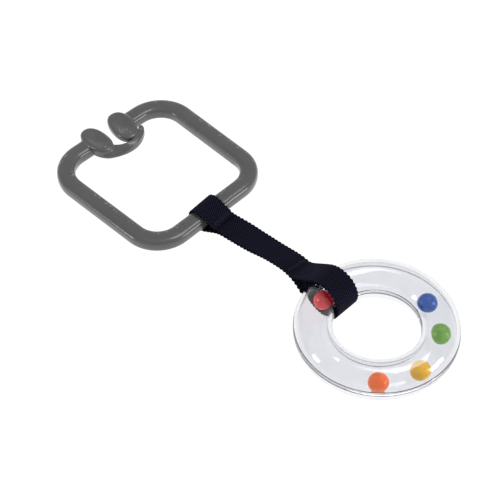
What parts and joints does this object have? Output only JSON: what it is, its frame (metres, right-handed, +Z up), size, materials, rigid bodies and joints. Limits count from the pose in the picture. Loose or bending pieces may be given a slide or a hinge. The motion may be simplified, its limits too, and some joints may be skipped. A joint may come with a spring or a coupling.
{
  "type": "clip-on rattle ring",
  "caption": "Clear hollow ring with loose coloured beads, sewn by a navy webbing strap to a grey plastic link clip that opens at one side.",
  "frame": {"origin": "middle of the footprint, on the table the toy lies on", "axes": "+X runs from the clip's open side along the strap to the ring, +Y across the strap, +Z up off the table"},
  "size_m": [0.2334, 0.0838, 0.0224],
  "materials": {
    "grey_plastic": "satin moulded plastic, mid grey, fine speckle",
    "navy_webbing": "ribbed woven nylon webbing, very dark navy",
    "navy_thread": "twisted polyester sewing thread, dark navy",
    "clear_plastic": "clear polished moulded plastic",
    "red_bead": "glossy moulded red plastic",
    "blue_bead": "glossy moulded blue plastic",
    "green_bead": "glossy moulded green plastic",
    "yellow_bead": "glossy moulded yellow plastic",
    "orange_bead": "glossy moulded orange plastic"
  },
  "bodies": {
    "clip": {"clip_frame": "grey_plastic"},
    "hook_arm": {"clip_hook_arm": "grey_plastic"},
    "strap": {"webbing_clip_end": "navy_webbing", "clip_seam_thread": "navy_thread"},
    "ring_loop": {"webbing_ring_end": "navy_webbing", "ring_seam_thread": "navy_thread"},
    "ring": {"ring_upper_shell": "clear_plastic", "ring_lower_shell": "clear_plastic"},
    "bead_red": {"bead_red": "red_bead"},
    "bead_blue": {"bead_blue": "blue_bead"},
    "bead_green": {"bead_green": "green_bead"},
    "bead_yellow": {"bead_yellow": "yellow_bead"},
    "bead_orange": {"bead_orange": "orange_bead"}
  },
  "joints": [
    {"name": "hook_flex", "type": "hinge", "parent": "clip", "child": "hook_arm", "pos_m": [-0.10889, -0.01861, 0.00356], "axis": [0.9995, 0, 0.0321], "range_deg": [-18, 18], "stiffness_Nm_per_rad": 1},
    {"name": "strap_swing", "type": "hinge", "parent": "clip", "child": "strap", "pos_m": [-0.03161, -0.0006, 0.00604], "axis": [0, -1, 0], "range_deg": [-160, 160]},
    {"name": "strap_flex", "type": "hinge", "parent": "strap", "child": "ring_loop", "pos_m": [0.01828, -0.0025, 0.00927], "axis": [0, 1, 0], "range_deg": [-90, 90]},
    {"name": "ring_spin", "type": "hinge", "parent": "ring_loop", "child": "ring", "pos_m": [0.07779, -0.0025, 0.00997], "axis": [0.0244, 0, 0.9997], "continuous": true},
    {"name": "red_bead_roll", "type": "hinge", "parent": "ring", "child": "bead_red", "pos_m": [0.07779, -0.0025, 0.00997], "axis": [0.0244, 0, 0.9997], "range_deg": [-91.9, 104.9]},
    {"name": "blue_bead_roll", "type": "hinge", "parent": "ring", "child": "bead_blue", "pos_m": [0.07779, -0.0025, 0.00997], "axis": [0.0244, 0, 0.9997], "range_deg": [-17.4, 91.9]},
    {"name": "green_bead_roll", "type": "hinge", "parent": "ring", "child": "bead_green", "pos_m": [0.07779, -0.0025, 0.00997], "axis": [0.0244, 0, 0.9997], "range_deg": [-26.9, 17.4]},
    {"name": "yellow_bead_roll", "type": "hinge", "parent": "ring", "child": "bead_yellow", "pos_m": [0.07779, -0.0025, 0.00997], "axis": [0.0244, 0, 0.9997], "range_deg": [-20.9, 26.9]},
    {"name": "orange_bead_roll", "type": "hinge", "parent": "ring", "child": "bead_orange", "pos_m": [0.07779, -0.0025, 0.00997], "axis": [0.0244, 0, 0.9997], "range_deg": [-104.9, 20.9]}
  ]
}
